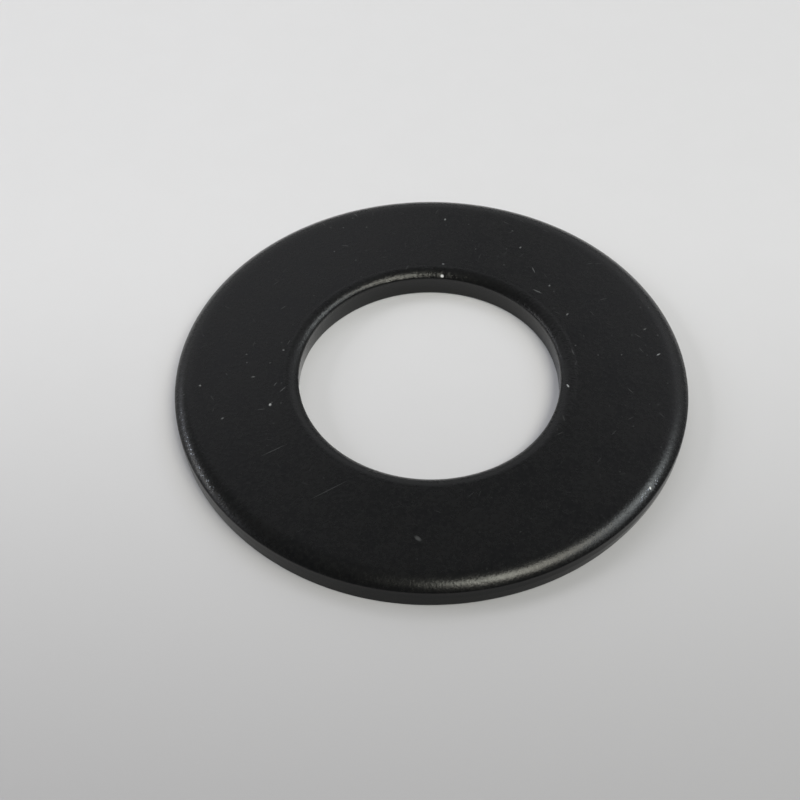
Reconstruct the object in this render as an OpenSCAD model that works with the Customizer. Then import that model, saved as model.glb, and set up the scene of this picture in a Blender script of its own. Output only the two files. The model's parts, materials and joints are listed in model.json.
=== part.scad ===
// Flat washer: a single flat ring, stamped from steel sheet and coated black.
// The origin is the middle of the hole at the underside, and +Z is the axis of the hole.
// Stamping leaves the two upper edges rolled over. Low down, where the sheet tore away from its
// surroundings, the outer wall leans in a little, and the two lower edges are only lightly rounded.

/* [Ring] */
// Outside diameter
outer_d = 23.4; // [18:0.1:40]
// Diameter of the hole
bore_d = 12.1; // [6:0.1:17]
// Thickness of the sheet
thickness = 1.3; // [0.8:0.05:4]

/* [Outer edge] */
// How far the rolled outer edge reaches in over the top face
outer_roll_w = 0.82; // [0.42:0.02:0.96]
// How far the rolled outer edge reaches down the outer wall
outer_roll_h = 0.41; // [0.36:0.01:0.7]

/* [Hole edge] */
// How far the rolled hole edge reaches out over the top face
bore_roll_w = 0.6; // [0.34:0.02:0.76]
// How far the rolled hole edge reaches down the wall of the hole
bore_roll_h = 0.33; // [0.26:0.01:0.58]

/* [Underside] */
// Share of the outer wall, from the underside up, that leans in
lean_share = 0.42; // [0.2:0.02:0.5]
// Radius that deburring leaves on the lower outer edge
outer_break = 0.16; // [0.04:0.02:0.2]
// Radius that deburring leaves on the lower edge of the hole
bore_break = 0.1; // [0.04:0.02:0.2]

/* [Finish] */
// Colour of the coating
coat_color = "#26282a"; // ["#26282a":Black, "#8d9094":Zinc, "#b59a4c":Passivated]

/* [Hidden] */
outer_r = outer_d / 2;
bore_r = bore_d / 2;
// Steepness at which the broad arc of a rolled edge hands over to the tight one
handover = 45;
// Sides of a whole circle, a multiple of eight so that both arcs meet on a corner
round_sides = 128;
// How far from upright the outer wall leans low down, so that it meets its arc on a corner too
lean = 360 / round_sides;

// Radius of the broad arc of a rolled edge that is w wide and h deep
function broad_radius(w, h) =
    (w * cos(handover) - h * (1 - sin(handover)))
    / (sin(handover) * cos(handover) - (1 - cos(handover)) * (1 - sin(handover)));

// Radius of the tight arc that finishes the same edge
function tight_radius(w, h) =
    (h - broad_radius(w, h) * (1 - cos(handover))) / cos(handover);

// What a rolled edge takes off a square corner at [0, 0], whose face runs along -X and wall along -Y
module roll_cut(w, h) {
    broad_r = broad_radius(w, h);
    tight_r = tight_radius(w, h);
    normal = [sin(handover), cos(handover)];
    reach = w + h;
    broad_centre = [-w, -broad_r];
    tight_centre = [-tight_r, -h];
    meet = broad_centre + broad_r * normal;
    clear = meet + reach * normal;

    difference() {
        polygon([[-w, 0], [-w, reach], clear, meet]);
        translate(broad_centre) circle(r = broad_r, $fn = round_sides);
    }
    difference() {
        polygon([meet, clear, [reach, -h], [0, -h]]);
        translate(tight_centre) circle(r = tight_r, $fn = round_sides);
    }
}

// What the leaning wall and its rounded lower edge take off a square corner at [0, 0], whose underside
// runs along -X and wall along +Y
module foot_cut(h, r) {
    w = h * tan(lean);
    reach = h + r;
    centre = [-w - r * (1 - sin(lean)) / cos(lean), r];
    meet = centre + r * [cos(lean), -sin(lean)];

    difference() {
        polygon([[centre[0], 0], [centre[0], -reach], [reach, -reach], [reach, h], [0, h], meet]);
        translate(centre) circle(r = r, $fn = round_sides);
    }
}

// Half section of the ring, to the right of its axis
module ring_section() {
    difference() {
        translate([bore_r, 0]) square([outer_r - bore_r, thickness]);
        translate([outer_r, thickness]) roll_cut(outer_roll_w, outer_roll_h);
        translate([bore_r, thickness]) mirror([1, 0]) roll_cut(bore_roll_w, bore_roll_h);
        translate([outer_r, 0]) foot_cut(lean_share * thickness, outer_break);
        translate([bore_r, 0]) rotate(180) roll_cut(bore_break, bore_break);
    }
}

module washer() {
    color(coat_color) rotate_extrude($fn = round_sides) ring_section();
}

washer();
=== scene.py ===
import json
import math

import bpy
import numpy as np
from mathutils import Matrix, Vector, noise


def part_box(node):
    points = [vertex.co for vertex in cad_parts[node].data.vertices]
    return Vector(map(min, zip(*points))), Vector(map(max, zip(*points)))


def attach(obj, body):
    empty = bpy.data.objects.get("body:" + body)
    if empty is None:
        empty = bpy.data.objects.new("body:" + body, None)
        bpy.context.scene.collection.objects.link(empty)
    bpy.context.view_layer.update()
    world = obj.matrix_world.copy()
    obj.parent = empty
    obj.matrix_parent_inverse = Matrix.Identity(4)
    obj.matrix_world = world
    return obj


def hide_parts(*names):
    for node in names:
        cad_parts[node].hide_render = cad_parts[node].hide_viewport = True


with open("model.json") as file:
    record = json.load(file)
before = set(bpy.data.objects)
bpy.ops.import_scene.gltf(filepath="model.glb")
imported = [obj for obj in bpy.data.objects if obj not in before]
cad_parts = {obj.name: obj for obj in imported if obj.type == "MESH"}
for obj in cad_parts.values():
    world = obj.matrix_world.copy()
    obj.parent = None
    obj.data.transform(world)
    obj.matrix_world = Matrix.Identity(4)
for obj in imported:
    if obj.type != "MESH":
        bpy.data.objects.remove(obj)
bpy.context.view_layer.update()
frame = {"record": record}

MM = 0.001
MICRON = 0.000001

# The ring's sizes, read from the frame
low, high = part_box("washer")
OUTER_R = (high.x - low.x) / 2
THICKNESS = high.z - low.z
BORE_R = frame["record"]["mounts"][0]["dims"]["r_mm"] * MM

# The rolled upper edges, as (reach over the face, reach down the wall)
OUTER_ROLL = (0.82 * MM, 0.41 * MM)
BORE_ROLL = (0.60 * MM, 0.33 * MM)
# The hole's rolled edge where it is narrowest
NARROW_BORE_ROLL = (0.38 * MM, 0.27 * MM)
# How steep the surface is where a rolled edge's broad arc hands over to its tight one
HANDOVER = math.radians(45)

# Low down, where the sheet tore, the outer wall leans in above a rounded foot, as (lean, radius).
# The tear runs unevenly, so the foot varies round the ring between its fullest and its most worn.
LEAN_HEIGHT = 0.42 * THICKNESS
FULL_FOOT = (math.radians(0.3), 0.05 * MM)
WORN_FOOT = (math.radians(9), 0.20 * MM)

# Radius of the lower edge of the hole
BORE_BREAK = 0.10 * MM

# How gradually the flat face bends into a rolled edge
ROLL_EASE = 0.14 * MM

# Steps of the mesh round the ring
SEGMENTS = 900


# ---------------------------------------------------------------- the ring's section

def arc(centre, radius, start, end, steps):
    """Points on an arc; angles are in degrees, counter-clockwise from straight outward."""
    angles = [math.radians(start + (end - start) * i / steps) for i in range(steps + 1)]
    return [(centre[0] + radius * math.cos(a), centre[1] + radius * math.sin(a)) for a in angles]


def line(start, end, steps):
    """Points along a straight stretch, closer together near its two ends, which are left out."""
    shares = [(1 - math.cos(math.pi * i / steps)) / 2 for i in range(1, steps)]
    return [
        (start[0] + (end[0] - start[0]) * share, start[1] + (end[1] - start[1]) * share)
        for share in shares
    ]


def broad_radius(roll):
    """Radius of a rolled edge's broad arc, which starts flush with the face."""
    reach, depth = roll
    s, c = math.sin(HANDOVER), math.cos(HANDOVER)
    return (reach * c - depth * (1 - s)) / (s * c - (1 - c) * (1 - s))


def rolled_edge(roll):
    """A rolled edge as offsets from its square corner, from the wall up and in over the face."""
    reach, depth = roll
    broad = broad_radius(roll)
    tight = (depth - broad * (1 - math.cos(HANDOVER))) / math.cos(HANDOVER)
    turn = 90 - math.degrees(HANDOVER)
    lower = arc((-tight, -depth), tight, 0, turn, 8)
    upper = arc((-reach, -broad), broad, turn, 90, 16)
    return lower + upper[1:]


def outer_foot(lean, radius):
    """The rounded lower edge that the leaning part of the outer wall runs into."""
    reach_in = LEAN_HEIGHT * math.tan(lean) + radius * (1 - math.sin(lean)) / math.cos(lean)
    return arc((OUTER_R - reach_in, radius), radius, -90, -math.degrees(lean), 6)


def section(foot=FULL_FOOT, bore_roll=BORE_ROLL):
    """The ring's section as (radius, height) points, counter-clockwise from the foot of the hole."""
    outer_edge = [(OUTER_R + x, THICKNESS + z) for x, z in rolled_edge(OUTER_ROLL)]
    bore_edge = [(BORE_R - x, THICKNESS + z) for x, z in reversed(rolled_edge(bore_roll))]
    lower_outer_edge = outer_foot(*foot)
    lower_bore_edge = arc((BORE_R + BORE_BREAK, BORE_BREAK), BORE_BREAK, 180, 270, 5)
    lean_top = (OUTER_R, LEAN_HEIGHT)
    points = line(lower_bore_edge[-1], lower_outer_edge[0], 9)
    points += lower_outer_edge
    points += line(lower_outer_edge[-1], lean_top, 6)
    points += [lean_top]
    points += line(lean_top, outer_edge[0], 5)
    points += outer_edge
    points += line(outer_edge[-1], bore_edge[0], 18)
    points += bore_edge
    points += line(bore_edge[-1], lower_bore_edge[0], 9)
    points += lower_bore_edge
    return softened(np.array(points), bore_roll)


def outward(points):
    """The direction straight out of the metal at each point of the closed section."""
    along = np.roll(points, -1, 0) - np.roll(points, 1, 0)
    out = np.stack([along[:, 1], -along[:, 0]], 1)
    return out / np.linalg.norm(out, axis=1, keepdims=True)


def eased(into_roll, radius):
    """How far a face that bends away softly lies below one that starts a roll of that radius at once."""
    share = into_roll / ROLL_EASE
    curve = math.exp(-share * share / 2) / math.sqrt(2 * math.pi)
    passed = (1 + math.erf(share / math.sqrt(2))) / 2
    soft = ((share * share + 1) * passed + share * curve) / 2
    sharp = max(share, 0) ** 2 / 2
    return (soft - sharp) * ROLL_EASE ** 2 / radius


def softened(points, bore_roll):
    """The section with its face bending into the two rolled edges softly."""
    out = outward(points)
    depths = []
    for radius, upward in zip(points[:, 0], out[:, 1]):
        into_outer_roll = radius - (OUTER_R - OUTER_ROLL[0])
        into_bore_roll = BORE_R + bore_roll[0] - radius
        depth = eased(into_outer_roll, broad_radius(OUTER_ROLL))
        depth += eased(into_bore_roll, broad_radius(bore_roll))
        depths.append(max(upward, 0) * depth)
    return points - np.array(depths)[:, None] * out


# ---------------------------------------------------------------- the ring's surface

# Nicks on the rolled edges: azimuth in degrees, radius, height, width and depth. The first two are
# the deepest, and show bare steel, painted bright as a glint as well.
OUTER_NICK_R = OUTER_R - 0.20 * MM
OUTER_NICK_Z = THICKNESS - 0.12 * MM
BORE_NICK_R = BORE_R + 0.10 * MM
BORE_NICK_Z = THICKNESS - 0.17 * MM
NICKS = [
    (83, BORE_NICK_R, BORE_NICK_Z, 0.10 * MM, 20 * MICRON),
    (-37, OUTER_R - 0.28 * MM, OUTER_NICK_Z, 0.13 * MM, 16 * MICRON),
    (-152, OUTER_NICK_R, OUTER_NICK_Z, 0.12 * MM, 12 * MICRON),
    (-157, OUTER_NICK_R, OUTER_NICK_Z, 0.10 * MM, 9 * MICRON),
]
BARE_GLINTING_NICKS = NICKS[:2]

# Where the foot of the outer wall is at its fullest and its most worn: azimuth and spread in degrees
FULLEST_FOOT = (-108, 30)
MOST_WORN_FOOT = (-42, 14)

# Where the hole's rolled edge is narrow: azimuth and spread in degrees, and share of the narrowest form
NARROW_STRETCHES = [(0, 35, 1.0), (132, 32, 0.9)]

# The hole isn't quite round: it is a little tight on one side, and on another its wall leans out
# towards the foot. Each has its azimuth and spread in degrees, and how far it moves the hole's edge.
TIGHT_SIDE = (-3, 33)
TIGHTNESS = 0.12 * MM
LEANING_SIDE = (162, 28)
LEAN_OUT = 0.07 * MM
LEAN_OUT_HEIGHT = 0.75 * THICKNESS
# How far into the metal the leaning of the hole's wall reaches
LEAN_OUT_REACH = 0.3 * MM
# The tight side fades out across the flat face, over this stretch
TIGHTNESS_END = OUTER_R - 1.5 * MM
TIGHTNESS_FADE = 3 * MM

# Unevenness of the whole surface, of the rolled edges and of the walls: depth, size and noise seed
WAVES = (1.5 * MICRON, 2.6 * MM, 3)
ROLL_WAVES = (2.5 * MICRON, 0.7 * MM, 7)
WALL_STREAKS = (1.2 * MICRON, 0.25 * MM, 11)
# Below this height the surface is left even, so that the ring lies flat
UNEVEN_FROM = BORE_BREAK / 2


def on_ring(azimuth, radius, height):
    """A point given by its azimuth in degrees, its radius and its height."""
    a = math.radians(azimuth)
    return Vector((radius * math.cos(a), radius * math.sin(a), height))


def bell(azimuth, middle, spread):
    """A smooth bump of height 1 round one azimuth, in degrees."""
    away = (azimuth - middle + 180) % 360 - 180
    return math.exp(-(away / spread) ** 2)


def foot_wear(azimuth):
    """How worn the foot of the outer wall is at an azimuth, from 0 at its fullest to 1."""
    return 0.5 - 0.5 * bell(azimuth, *FULLEST_FOOT) + 0.5 * bell(azimuth, *MOST_WORN_FOOT)


def bore_narrowness(azimuth):
    """How much of its narrowest form the hole's rolled edge has at an azimuth, from 0 to 1."""
    return sum(share * bell(azimuth, middle, spread) for middle, spread, share in NARROW_STRETCHES)


def hole_shift(azimuth, radius, height):
    """How far inward a point of the ring lies, because the hole isn't quite round."""
    fade = min(max((TIGHTNESS_END - radius) / TIGHTNESS_FADE, 0), 1)
    inward = fade * TIGHTNESS * bell(azimuth, *TIGHT_SIDE)
    if radius < BORE_R + LEAN_OUT_REACH:
        low_down = max(1 - height / LEAN_OUT_HEIGHT, 0)
        inward -= LEAN_OUT * bell(azimuth, *LEANING_SIDE) * low_down
    return inward


def uneven(at, kind):
    """Depth of one kind of unevenness at a point, always zero or more."""
    depth, size, seed = kind
    return depth * (1 + noise.noise(at / size + Vector((seed, 0.37 * seed, 1.7 * seed))))


def relief(at, out):
    """How far the real surface lies inside the perfect one at a point."""
    depth = uneven(at, WAVES)
    facing_side = out[0] ** 2
    if at.z > 0.6 * THICKNESS:
        depth += 4 * facing_side * (1 - facing_side) * uneven(at, ROLL_WAVES)
    if facing_side > 0.95:
        depth += uneven(Vector((at.x, at.y, 0.1 * at.z)), WALL_STREAKS)
    return depth


def nick_depth(at):
    """Depth of the nicks at a point."""
    depth = 0.0
    for azimuth, radius, height, width, deep in NICKS:
        distance = (at - on_ring(azimuth, radius, height)).length
        if distance < 3 * width:
            depth += deep * math.exp(-(distance / width) ** 2)
    return depth


def ring_vertices():
    """The section's points carried round in steps, with the real ring's small unevenness."""
    plain = section()
    worn_foot = section(foot=WORN_FOOT) - plain
    narrow_roll = section(bore_roll=NARROW_BORE_ROLL) - plain
    vertices = []
    for i in range(SEGMENTS):
        azimuth = 360 * i / SEGMENTS
        points = plain + foot_wear(azimuth) * worn_foot + bore_narrowness(azimuth) * narrow_roll
        for (radius, height), out in zip(points, outward(points)):
            depth = 0.0
            if height > UNEVEN_FROM:
                at = on_ring(azimuth, radius, height)
                depth = relief(at, out) + nick_depth(at)
            reach = radius - depth * out[0] - hole_shift(azimuth, radius, height)
            vertices.append(on_ring(azimuth, reach, height - depth * out[1]))
    return vertices


def ring_mesh():
    """The washer as one closed mesh of four-sided faces."""
    vertices = ring_vertices()
    count = len(vertices) // SEGMENTS
    faces = []
    for i in range(SEGMENTS):
        here, there = i * count, (i + 1) % SEGMENTS * count
        for j in range(count):
            k = (j + 1) % count
            faces.append((here + j, there + j, there + k, here + k))
    mesh = bpy.data.meshes.new("coated_ring")
    mesh.from_pydata(vertices, [], faces)
    mesh.shade_smooth()
    ring = bpy.data.objects.new("coated_ring", mesh)
    bpy.context.scene.collection.objects.link(ring)
    return ring


# ---------------------------------------------------------------- materials

class Nodes:
    """A short way to write a node tree."""

    def __init__(self, tree):
        self.tree = tree

    def add(self, kind, settings=None, **inputs):
        """A new node; inputs are named, with underscores for spaces."""
        node = self.tree.nodes.new(kind)
        for key, value in (settings or {}).items():
            setattr(node, key, value)
        for key, value in inputs.items():
            self.feed(node.inputs[key.replace("_", " ")], value)
        return node

    def feed(self, socket, value):
        """Connects a socket to another, or sets its value."""
        if isinstance(value, bpy.types.NodeSocket):
            self.tree.links.new(value, socket)
        else:
            socket.default_value = value

    def maths(self, operation, *values):
        node = self.add("ShaderNodeMath", {"operation": operation})
        for socket, value in zip(node.inputs, values):
            self.feed(socket, value)
        return node.outputs[0]

    def vector(self, operation, *values):
        node = self.add("ShaderNodeVectorMath", {"operation": operation})
        for socket, value in zip(node.inputs, values):
            self.feed(socket, value)
        return node.outputs["Value" if operation in ("LENGTH", "DISTANCE") else "Vector"]

    def ramp(self, value, start, end, first=0.0, last=1.0):
        """Goes smoothly from first to last while the value goes from start to end."""
        node = self.add("ShaderNodeMapRange", {"interpolation_type": "SMOOTHSTEP"}, Value=value)
        for key, number in (("From Min", start), ("From Max", end), ("To Min", first), ("To Max", last)):
            node.inputs[key].default_value = number
        return node.outputs["Result"]

    def blend(self, share, first, second):
        """A colour between two."""
        node = self.add("ShaderNodeMix", {"data_type": "RGBA"})
        self.feed(node.inputs[0], share)
        self.feed(node.inputs[6], first)
        self.feed(node.inputs[7], second)
        return node.outputs[2]


class Surface(Nodes):
    """A material of one shader, with places measured on the object itself."""

    def __init__(self, name):
        self.material = bpy.data.materials.new(name)
        self.material.use_nodes = True
        super().__init__(self.material.node_tree)
        self.shader = self.tree.nodes["Principled BSDF"]
        self.where = self.add("ShaderNodeTexCoord").outputs["Object"]
        self.x, self.y, self.z = self.add("ShaderNodeSeparateXYZ", Vector=self.where).outputs

    def noise(self, size, detail=2.0, where=None):
        """Noise from 0 to 1 with features about size across."""
        node = self.add("ShaderNodeTexNoise", Vector=where or self.where, Scale=1 / size, Detail=detail)
        return node.outputs["Fac"]

    def paint(self, colour, roughness, height, depth):
        """Sets the shader's colour and roughness, and a bump as deep as depth."""
        bump = self.add("ShaderNodeBump", Height=height, Distance=depth)
        self.feed(self.shader.inputs["Base Color"], colour)
        self.feed(self.shader.inputs["Roughness"], roughness)
        self.feed(self.shader.inputs["Normal"], bump.outputs[0])
        return self.material


def mark(n, offset, turn, length, width):
    """A mask for one straight mark, from the offset to its middle and its turn in radians."""
    turned = n.add("ShaderNodeVectorRotate", {"rotation_type": "Z_AXIS"}, Vector=offset)
    n.feed(turned.inputs["Angle"], turn)
    scaled = n.vector("MULTIPLY", turned.outputs[0], (2 / length, 2 / width, 0.0))
    return n.ramp(n.vector("LENGTH", scaled), 1.2, 0.4)


def stray_marks(n, spacing, length, width, share, seed):
    """Marks strewn at random over the plan of the ring, in one grid cell out of share."""
    flat = n.vector("MULTIPLY", n.where, (1.0, 1.0, 0.0))
    shifted = n.vector("ADD", flat, (seed * MM, seed * 0.7 * MM, 0.0))
    cells = n.add("ShaderNodeTexVoronoi", {"voronoi_dimensions": "2D"}, Vector=shifted, Scale=1 / spacing)
    offset = n.vector("SUBTRACT", shifted, cells.outputs["Position"])
    chance = n.add("ShaderNodeSeparateColor", Color=cells.outputs["Color"])
    turn = n.maths("MULTIPLY", chance.outputs[0], 2 * math.pi)
    chosen = n.maths("LESS_THAN", chance.outputs[1], 1 / share)
    strength = n.maths("MULTIPLY", chosen, chance.outputs[2])
    return n.maths("MULTIPLY", strength, mark(n, offset, turn, length, width))


# How strongly the strewn marks show
STREWN_STRENGTH = 0.17

# Single marks on the top face: azimuth in degrees, radius, turn in degrees, length, width, strength
FACE_MARKS = [
    (-165, 7.5 * MM, 70, 0.17 * MM, 0.13 * MM, 1.0),
    (-164, 9.7 * MM, 35, 0.17 * MM, 0.09 * MM, 0.3),
    (-176, 10.5 * MM, 0, 0.11 * MM, 0.09 * MM, 0.6),
    (-11, 6.27 * MM, -70, 0.22 * MM, 0.08 * MM, 1.4),
    (84, 10.0 * MM, 80, 0.16 * MM, 0.10 * MM, 0.5),
    (83, 6.8 * MM, 0, 0.13 * MM, 0.12 * MM, 0.4),
    (-95, 9.3 * MM, -45, 0.36 * MM, 0.20 * MM, 0.14),
    (3, 10.5 * MM, 30, 0.22 * MM, 0.07 * MM, 0.8),
    (12, 10.3 * MM, 35, 0.20 * MM, 0.07 * MM, 0.35),
    (26, 7.3 * MM, 50, 0.18 * MM, 0.08 * MM, 0.45),
    (41, 7.8 * MM, 70, 0.13 * MM, 0.09 * MM, 0.4),
    (59, 9.1 * MM, 60, 0.16 * MM, 0.09 * MM, 0.4),
    (42, 7.1 * MM, -35, 0.50 * MM, 0.07 * MM, 0.30),
    (50, 8.1 * MM, -75, 0.45 * MM, 0.06 * MM, 0.25),
    (169, 6.9 * MM, 0, 0.11 * MM, 0.10 * MM, 0.4),
    (-178, 8.1 * MM, 5, 0.20 * MM, 0.07 * MM, 0.35),
    (-171, 6.8 * MM, 50, 0.45 * MM, 0.06 * MM, 0.16),
    (-174, 7.1 * MM, 60, 0.30 * MM, 0.06 * MM, 0.14),
    (-147, 8.3 * MM, 30, 1.30 * MM, 0.05 * MM, 0.10),
    (-124, 8.1 * MM, 31, 1.90 * MM, 0.05 * MM, 0.08),
]

# Painted glints: bright specks painted along the outer rolled edge where its highlights fall: azimuth in
# degrees, radius and reach along the edge
GLINT_PLACES = [
    (-157, OUTER_R - 0.24 * MM, 3.6 * MM),
    (-37, OUTER_R - 0.28 * MM, 1.6 * MM),
]

# Colours of the coating, of what lies on it and of what shows through, and of the painted glints
DARK_COAT = (0.0036, 0.0038, 0.0043, 1)
LIGHT_COAT = (0.0048, 0.0049, 0.0051, 1)
GRAIN_COAT = (0.0064, 0.0066, 0.0068, 1)
DUST = (0.30, 0.31, 0.32, 1)
# Bare steel, painted bright enough to stand for a glint as well
BARE_STEEL_GLINT = (0.75, 0.76, 0.77, 1)
# Painted glints: bright bluish specks on the outer rolled edge
GLINT_COLOUR = (0.30, 0.33, 0.40, 1)

# How glossy the coating is on the whole, and on the outer wall
GLOSS = 0.42
OUTER_WALL_GLOSS = 0.18

# How rough the coating is, and what its clouds, its grain, the marks, the walls and the hole's rolled
# edge add to that
ROUGHNESS = 0.18
CLOUD_ROUGHNESS = 0.08
GRAIN_ROUGHNESS = 0.10
MARK_ROUGHNESS = 0.3
WALL_ROUGHNESS = -0.06
HOLE_EDGE_ROUGHNESS = 0.02

# Depth of the grain, and how deep the streaks are beside it: everywhere, and what the outer and the
# hole's rolled edges add
GRAIN_DEPTH = 4.0 * MICRON
STREAKS = 0.3
OUTER_EDGE_STREAKS = 1.5
HOLE_EDGE_STREAKS = 4.0


def face_marks(n):
    """A mask of the light marks on the top face: strewn ones, and single ones in their own places."""
    scratches = stray_marks(n, spacing=0.8 * MM, length=0.40 * MM, width=0.05 * MM, share=4, seed=0)
    dust = stray_marks(n, spacing=0.6 * MM, length=0.11 * MM, width=0.08 * MM, share=5, seed=31)
    patches = n.ramp(n.noise(3.5 * MM, 1.0), 0.35, 0.65, 0.15, 1.0)
    fewer_in_front = n.ramp(n.y, -7 * MM, 1 * MM, 0.3, 1.0)
    strewn = n.maths("MULTIPLY", n.maths("MAXIMUM", scratches, dust),
                     n.maths("MULTIPLY", patches, fewer_in_front))
    marks = n.maths("MULTIPLY", strewn, STREWN_STRENGTH)
    for azimuth, radius, turn, length, width, strength in FACE_MARKS:
        offset = n.vector("SUBTRACT", n.where, on_ring(azimuth, radius, 0))
        one = mark(n, offset, -math.radians(turn), length, width)
        marks = n.maths("MAXIMUM", marks, n.maths("MULTIPLY", one, strength))
    return n.maths("MULTIPLY", marks, n.ramp(n.z, THICKNESS - 0.3 * MM, THICKNESS - 0.1 * MM))


def bare_glinting_nicks(n, grain):
    """A mask of the bare steel in the deepest nicks, with ragged edges, painted bright as a glint as well.
    """
    bare = 0.0
    for azimuth, radius, height, width, deep in BARE_GLINTING_NICKS:
        distance = n.vector("DISTANCE", n.where, on_ring(azimuth, radius, height))
        ragged = n.maths("MULTIPLY_ADD", grain, 0.08 * MM, distance)
        bare = n.maths("MAXIMUM", bare, n.ramp(ragged, 0.13 * MM, 0.08 * MM))
    return bare


def painted_glints(n, radius):
    """A mask of fine bright specks on the outer rolled edge: painted glints in its highlights."""
    specks = n.ramp(n.noise(0.075 * MM, 1.0), 0.60, 0.70)
    mask = 0.0
    for azimuth, middle, reach in GLINT_PLACES:
        along = n.vector("DISTANCE", n.where, on_ring(azimuth, middle, THICKNESS))
        across = n.maths("ABSOLUTE", n.maths("SUBTRACT", radius, middle))
        place = n.maths("MULTIPLY", n.ramp(along, reach, 0.2 * reach), n.ramp(across, 0.12 * MM, 0.04 * MM))
        mask = n.maths("MAXIMUM", mask, n.maths("MULTIPLY", specks, place))
    return mask


def coating_colour(n, clouds, grain, marks, radius):
    """Black that is a little lighter in its clouds and grain, with the dust on it, the bare steel in the
    nicks painted bright as a glint, and painted glints on the outer rolled edge.
    """
    colour = n.blend(n.ramp(clouds, 0.3, 0.7), DARK_COAT, LIGHT_COAT)
    colour = n.blend(n.ramp(grain, 0.35, 0.75), colour, GRAIN_COAT)
    colour = n.blend(marks, colour, DUST)
    # Bare steel in the deepest nicks, painted bright as a glint
    colour = n.blend(bare_glinting_nicks(n, grain), colour, BARE_STEEL_GLINT)
    # Painted glints where the outer rolled edge's highlights fall
    return n.blend(painted_glints(n, radius), colour, GLINT_COLOUR)


def coating_zones(n, radius):
    """Masks of the walls, of the outer wall alone, and of the outer and the hole's rolled edges."""
    walls = n.ramp(n.z, THICKNESS - 0.30 * MM, THICKNESS - 0.50 * MM)
    above = n.maths("SUBTRACT", 1.0, walls)
    outer_wall = n.maths("MULTIPLY", walls, n.ramp(radius, BORE_R + 0.5 * MM, OUTER_R - 0.5 * MM))
    outer_edge = n.maths("MULTIPLY", above, n.ramp(radius, OUTER_R - 0.9 * MM, OUTER_R - 0.6 * MM))
    hole_edge = n.maths("MULTIPLY", above, n.ramp(radius, BORE_R + 0.7 * MM, BORE_R + 0.5 * MM))
    return walls, outer_wall, outer_edge, hole_edge


def coating_roughness(n, clouds, grain, marks, walls, hole_edge):
    """Satin, a little rougher in its clouds, its grain and the marks, and smoother on the walls."""
    rough = n.maths("MULTIPLY_ADD", clouds, CLOUD_ROUGHNESS, ROUGHNESS)
    rough = n.maths("MULTIPLY_ADD", grain, GRAIN_ROUGHNESS, rough)
    rough = n.maths("MULTIPLY_ADD", marks, MARK_ROUGHNESS, rough)
    rough = n.maths("MULTIPLY_ADD", walls, WALL_ROUGHNESS, rough)
    return n.maths("MULTIPLY_ADD", hole_edge, HOLE_EDGE_ROUGHNESS, rough)


def coating_height(n, grain, marks, outer_edge, hole_edge):
    """Grain and raised marks, and streaks that run over the edges, deepest on the hole's."""
    streaks = n.noise(0.10 * MM, 2.0, n.vector("MULTIPLY", n.where, (1.0, 1.0, 0.12)))
    depth = n.maths("MULTIPLY_ADD", outer_edge, OUTER_EDGE_STREAKS, STREAKS)
    depth = n.maths("MULTIPLY_ADD", hole_edge, HOLE_EDGE_STREAKS, depth)
    height = n.maths("MULTIPLY_ADD", streaks, depth, grain)
    return n.maths("ADD", height, marks)


def black_coating():
    """Satin black coating: fine grain, faint scratches, a little dust, bare steel in the nicks painted
    bright as a glint, and painted glints on the outer rolled edge.
    """
    n = Surface("black_coating")
    clouds = n.noise(1.5 * MM, 4.0)
    grain = n.noise(0.17 * MM, 2.5)
    marks = face_marks(n)
    radius = n.vector("LENGTH", n.vector("MULTIPLY", n.where, (1.0, 1.0, 0.0)))
    walls, outer_wall, outer_edge, hole_edge = coating_zones(n, radius)
    gloss = n.ramp(outer_wall, 0.0, 1.0, GLOSS, OUTER_WALL_GLOSS)
    n.feed(n.shader.inputs["Specular IOR Level"], gloss)
    colour = coating_colour(n, clouds, grain, marks, radius)
    rough = coating_roughness(n, clouds, grain, marks, walls, hole_edge)
    height = coating_height(n, grain, marks, outer_edge, hole_edge)
    return n.paint(colour, rough, height, GRAIN_DEPTH)


# Painted shade on the paper, which greys it from beyond the ring towards the viewer: two places along Y,
# and their colours
PAPER_FAR_Y = 12 * MM
PAPER_NEAR_Y = -31 * MM
LIT_FAR_PAPER = (0.757, 0.752, 0.787, 1)
SHADED_NEAR_PAPER = (0.388, 0.383, 0.403, 1)
GREY = (0.5, 0.5, 0.5, 1)
# Painted shade greys it to the right as well, over this distance to each side of the middle
SIDE_SHADE_X = 25 * MM
FIBRE_DEPTH = 2 * MICRON


def paper():
    """Plain off-white paper, faintly mottled, with painted shade that greys it towards the viewer and a
    little to the right.
    """
    n = Surface("paper")
    clouds = n.noise(2.5 * MM, 3.0)
    fibres = n.noise(0.16 * MM, 2.0)
    # Painted shade: the paper greys towards the viewer
    sheet = n.blend(n.ramp(n.y, PAPER_NEAR_Y, PAPER_FAR_Y), SHADED_NEAR_PAPER, LIT_FAR_PAPER)
    # Painted shade: the paper greys a little to the right
    sheet = n.blend(n.ramp(n.x, -SIDE_SHADE_X, SIDE_SHADE_X, 0.0, 0.14), sheet, GREY)
    sheet = n.blend(n.ramp(clouds, 0.2, 0.8, 0.0, 0.03), sheet, GREY)
    n.shader.inputs["Specular IOR Level"].default_value = 0.15
    return n.paint(sheet, 0.9, fibres, FIBRE_DEPTH)


# ---------------------------------------------------------------- floor, lights and camera

def floor():
    """A wide sheet of paper under the washer."""
    side = 200 * OUTER_R
    corners = [(-side, -side, 0), (side, -side, 0), (side, side, 0), (-side, side, 0)]
    mesh = bpy.data.meshes.new("paper_sheet")
    mesh.from_pydata(corners, [], [(0, 1, 2, 3)])
    mesh.materials.append(paper())
    sheet = bpy.data.objects.new("paper_sheet", mesh)
    bpy.context.scene.collection.objects.link(sheet)
    return sheet


# How far from the ring every softbox stands
LIGHT_DISTANCE = 0.9

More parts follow.
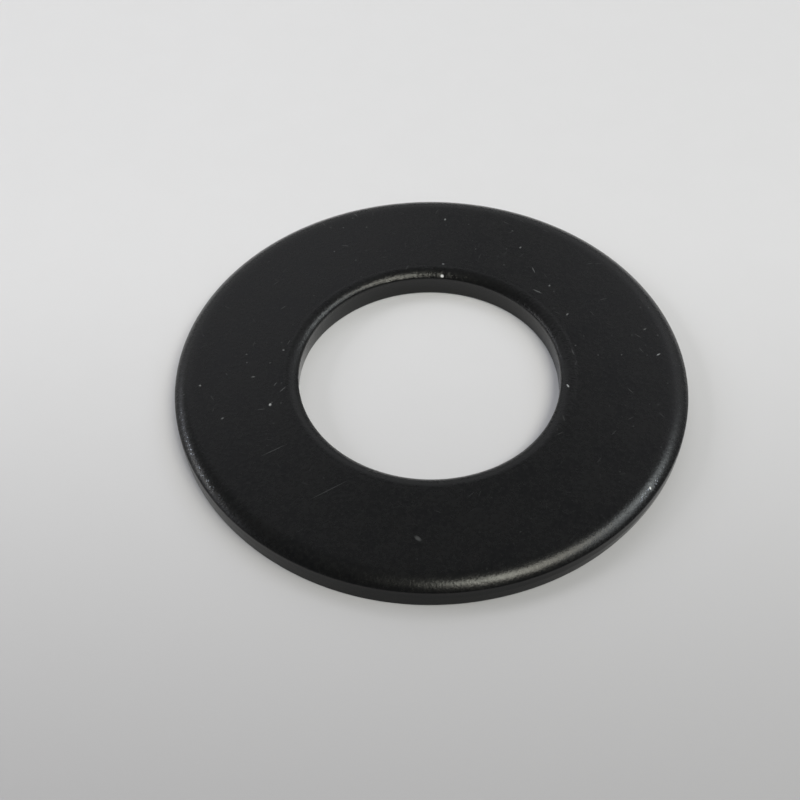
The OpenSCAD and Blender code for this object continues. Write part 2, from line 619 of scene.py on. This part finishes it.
# How bright the room is in front of the ring and beside it, what is added low at the left and beyond
# the ring, and how bright the backdrop is that only the camera sees
FRONT_GLOW = 0.05
SIDE_GLOW = 0.10
LEFT_GLOW = 0.13
FAR_GLOW = 0.34
BACKDROP = 0.45
ROOM_COLOUR = (0.97, 0.98, 1.0, 1)

EXPOSURE = 0.19


def softbox(name, azimuth, elevation, across, tall, radiance, colour):
    """An area light that faces the ring, with its place and its apparent size in degrees."""
    towards = on_ring(azimuth, math.cos(math.radians(elevation)), math.sin(math.radians(elevation)))
    width = 2 * LIGHT_DISTANCE * math.tan(math.radians(across / 2))
    height = 2 * LIGHT_DISTANCE * math.tan(math.radians(tall / 2))
    lamp = bpy.data.lights.new(name, "AREA")
    lamp.shape = "ELLIPSE"
    lamp.size = width
    lamp.size_y = height
    lamp.energy = radiance * math.pi * (math.pi / 4 * width * height)
    lamp.color = colour
    light = bpy.data.objects.new(name, lamp)
    light.location = towards * LIGHT_DISTANCE
    light.rotation_euler = towards.to_track_quat("Z", "Y").to_euler()
    light.visible_camera = False
    bpy.context.scene.collection.objects.link(light)
    return light


def surroundings():
    """A dim room, lighter on the far side and at the left near the floor, with a pale backdrop."""
    world = bpy.data.worlds.new("surroundings")
    world.use_nodes = True
    n = Nodes(world.node_tree)
    towards = n.add("ShaderNodeTexCoord").outputs["Generated"]
    x, y, z = n.add("ShaderNodeSeparateXYZ", Vector=towards).outputs
    far = n.maths("MULTIPLY", n.ramp(y, 0.0, 0.6), n.ramp(z, 0.75, 0.5))
    far = n.maths("MULTIPLY", far, n.ramp(z, 0.1, 0.35))
    left = n.maths("MULTIPLY", n.ramp(x, 0.0, -0.6), n.ramp(z, 0.6, 0.2))
    radiance = n.maths("MULTIPLY_ADD", far, FAR_GLOW, n.ramp(y, -0.5, 0.1, FRONT_GLOW, SIDE_GLOW))
    radiance = n.maths("MULTIPLY_ADD", left, LEFT_GLOW, radiance)
    backdrop = n.maths("MULTIPLY", n.add("ShaderNodeLightPath").outputs["Is Camera Ray"], BACKDROP)
    radiance = n.maths("MAXIMUM", radiance, backdrop)
    background = world.node_tree.nodes["Background"]
    n.feed(background.inputs["Color"], ROOM_COLOUR)
    n.feed(background.inputs["Strength"], radiance)
    bpy.context.scene.world = world


def lights():
    """A lamp in front, a window at the right, and light from the left and from beyond the ring.

    The window casts no shadow and the fills show in no reflection, so that the shadows on the paper
    and the highlights on the ring are set apart.
    """
    softbox("lamp_core", -60, 63, 14, 14, 6.0, (0.96, 1.0, 0.88))
    softbox("lamp_glow", -43, 60, 40, 24, 5.0, (1.0, 0.97, 0.85))
    window_core = softbox("window_core", 8, 43, 16, 16, 3.9, (0.93, 1.0, 0.98))
    window_glow = softbox("window_glow", 2, 44, 46, 28, 1.7, (0.90, 0.96, 1.0))
    softbox("left_core", 169, 24, 14, 8, 2.7, (1.0, 0.97, 0.86))
    softbox("left_glow", 165, 23, 50, 9, 1.7, (0.88, 0.90, 1.0))
    softbox("far_left", 110, 45, 34, 16, 0.36, (0.93, 0.93, 1.0))
    softbox("far_right", 58, 42, 34, 22, 0.3, (0.93, 0.93, 1.0))
    left_fill = softbox("left_fill", 172, 35, 24, 14, 4.9, (1.0, 1.0, 1.0))
    far_fill = softbox("far_fill", 95, 58, 50, 24, 1.3, (1.0, 1.0, 1.0))
    for light in (window_core, window_glow):
        light.data.use_shadow = False
    for light in (left_fill, far_fill):
        light.visible_glossy = False


# The camera's lens and sensor in millimetres, and its dip and turn in radians
LENS = 59.1
SENSOR = 36
CAMERA_DIP = math.radians(50.32)
CAMERA_TURN = -0.0215
# Where the middle of the ring lies as the camera sees it: to the right, up and straight back
RING_IN_VIEW = Vector((0.1210, 0.0526, -5.2119)) * OUTER_R


def camera():
    """Looks down at the ring from in front, from about 61 mm away."""
    data = bpy.data.cameras.new("camera")
    data.sensor_width = SENSOR
    data.lens = LENS
    data.clip_start = 1 * MM
    data.clip_end = 20
    view = bpy.data.objects.new("camera", data)
    aim = Matrix.Rotation(math.pi / 2 - CAMERA_DIP, 4, "X") @ Matrix.Rotation(CAMERA_TURN, 4, "Z")
    view.matrix_world = Matrix.Translation(-(aim @ RING_IN_VIEW)) @ aim
    bpy.context.scene.collection.objects.link(view)
    bpy.context.scene.camera = view


ring = ring_mesh()
ring.data.materials.append(black_coating())
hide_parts("washer")
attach(ring, "root")
floor()

surroundings()
lights()
camera()

bpy.context.scene.view_settings.view_transform = "Standard"
bpy.context.scene.view_settings.exposure = EXPOSURE
